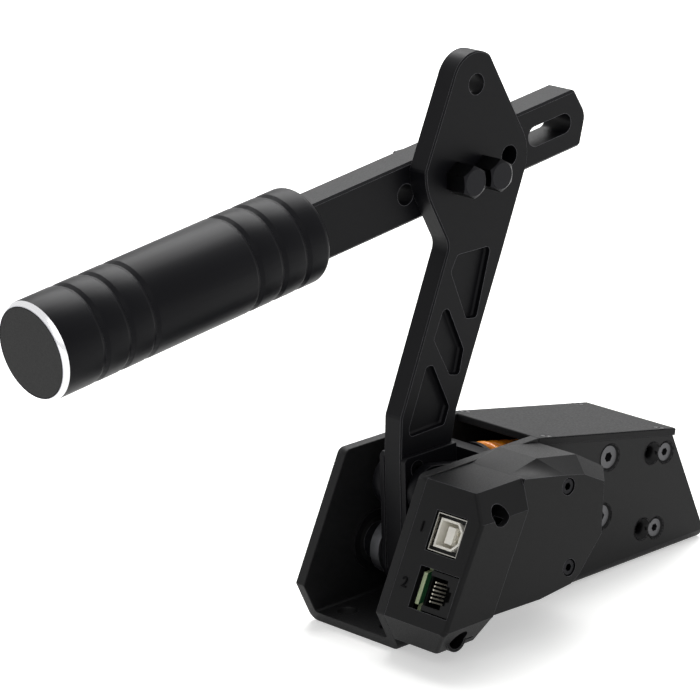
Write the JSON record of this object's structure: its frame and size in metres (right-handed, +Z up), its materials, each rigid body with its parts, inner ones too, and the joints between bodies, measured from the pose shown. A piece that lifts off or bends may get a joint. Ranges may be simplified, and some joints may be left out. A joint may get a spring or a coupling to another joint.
{
  "type": "sim racing handbrake",
  "caption": "Sim racing handbrake: a bent channel base with a leaning flat lever, slotted bar and round grip, a sprung push rod and a side sensor housing with two sockets.",
  "frame": {"origin": "centre of the rectangle of four base bolt holes, on the underside of the channel", "axes": "+X to the rear of the channel, the way the lever is pulled; +Y away from the sensor housing; +Z up"},
  "size_m": [0.2675, 0.0755, 0.1858],
  "materials": {
    "powder_coated_steel": "fine-textured black powder coat on bent steel",
    "coated_cover": "fine-textured black powder coat on flat plate",
    "black_screws": "black oxide on steel",
    "bearing_steel": "ground bearing steel",
    "bearing_shield": "black sheet steel",
    "anodised_aluminium": "satin black anodised",
    "anodised_grip": "matt black anodised, bright front chamfer",
    "grip_disc": "matt black",
    "plain_steel": "turned and ground",
    "bronze": "sintered bronze",
    "spring_paint": "orange enamel on spring steel",
    "damper_rubber": "polyurethane elastomer",
    "housing_plastic": "fine spark-textured black",
    "holder_plastic": "moulded",
    "board_laminate": "green solder mask on glass laminate",
    "chip_plastic": "moulded packages",
    "socket_metal": "nickel plated sheet",
    "socket_white": "moulded white",
    "contact_gold": "gold plated",
    "jack_plastic": "moulded black"
  },
  "bodies": {
    "base": {"channel_body": "powder_coated_steel", "top_cover": "coated_cover", "cover_screws": "black_screws", "near_bearing_outer": "bearing_steel", "near_bearing_shield": "bearing_shield", "far_bearing_outer": "bearing_steel", "far_bearing_shield": "bearing_shield", "middle_bracket": "anodised_aluminium", "guide_bush": "bronze", "middle_bracket_screws": "black_screws", "rear_bracket": "anodised_aluminium", "rear_bracket_screws": "black_screws", "damper": "damper_rubber", "return_spring": "spring_paint", "sensor_housing": "housing_plastic", "housing_deep_screws": "black_screws", "housing_face_screws": "black_screws", "circuit_board": "board_laminate", "board_screws": "black_screws", "sensor_chip": "chip_plastic", "controller_chip": "chip_plastic", "board_small_parts": "chip_plastic", "data_socket_shell": "socket_metal", "data_socket_insert": "socket_white", "data_socket_contacts": "contact_gold", "modular_jack": "jack_plastic", "jack_contacts": "contact_gold"},
    "lever": {"lever_arm": "anodised_aluminium", "near_hub_cheek": "anodised_aluminium", "far_hub_cheek": "anodised_aluminium", "hub_screws": "black_screws", "pivot_shaft": "plain_steel", "flange_screws": "black_screws", "near_spacer": "plain_steel", "far_spacer": "plain_steel", "near_bearing_inner": "bearing_steel", "far_bearing_inner": "bearing_steel", "shaft_end_washer": "plain_steel", "shaft_end_screw": "black_screws", "magnet_holder": "holder_plastic", "magnet": "plain_steel", "handle_bar": "anodised_aluminium", "clamp_bolts": "black_screws", "clamp_washers": "black_screws", "clamp_nuts": "black_screws", "grip_sleeve": "anodised_grip", "grip_bolt": "plain_steel", "grip_end_disc": "grip_disc"},
    "link": {"yoke": "anodised_aluminium", "yoke_pin": "plain_steel", "pin_clips": "plain_steel", "push_rod": "plain_steel", "spring_seat": "plain_steel", "stop_washer": "plain_steel", "stop_nut": "plain_steel"},
    "balls": {"near_bearing_balls": "bearing_steel", "far_bearing_balls": "bearing_steel"}
  },
  "joints": [
    {"name": "lever_pivot", "type": "hinge", "parent": "base", "child": "lever", "pos_m": [-0.045, 0, 0.022], "axis": [0, 1, 0], "range_deg": [0, 14], "stiffness_Nm_per_rad": 45, "springref_deg": -2.86, "deforming": ["return_spring", "damper"]},
    {"name": "link_pivot", "type": "hinge", "parent": "lever", "child": "link", "pos_m": [-0.044, 0, 0.045], "axis": [0, 1, 0], "range_deg": [-14, 0]},
    {"name": "balls_roll", "type": "hinge", "parent": "base", "child": "balls", "pos_m": [-0.045, 0, 0.022], "axis": [0, 1, 0], "range_deg": [0, 6]}
  ],
  "couplings": [
    {"joint": "link_pivot", "follows": "lever_pivot", "ratio": -1},
    {"joint": "balls_roll", "follows": "lever_pivot", "ratio": 0.4172}
  ]
}
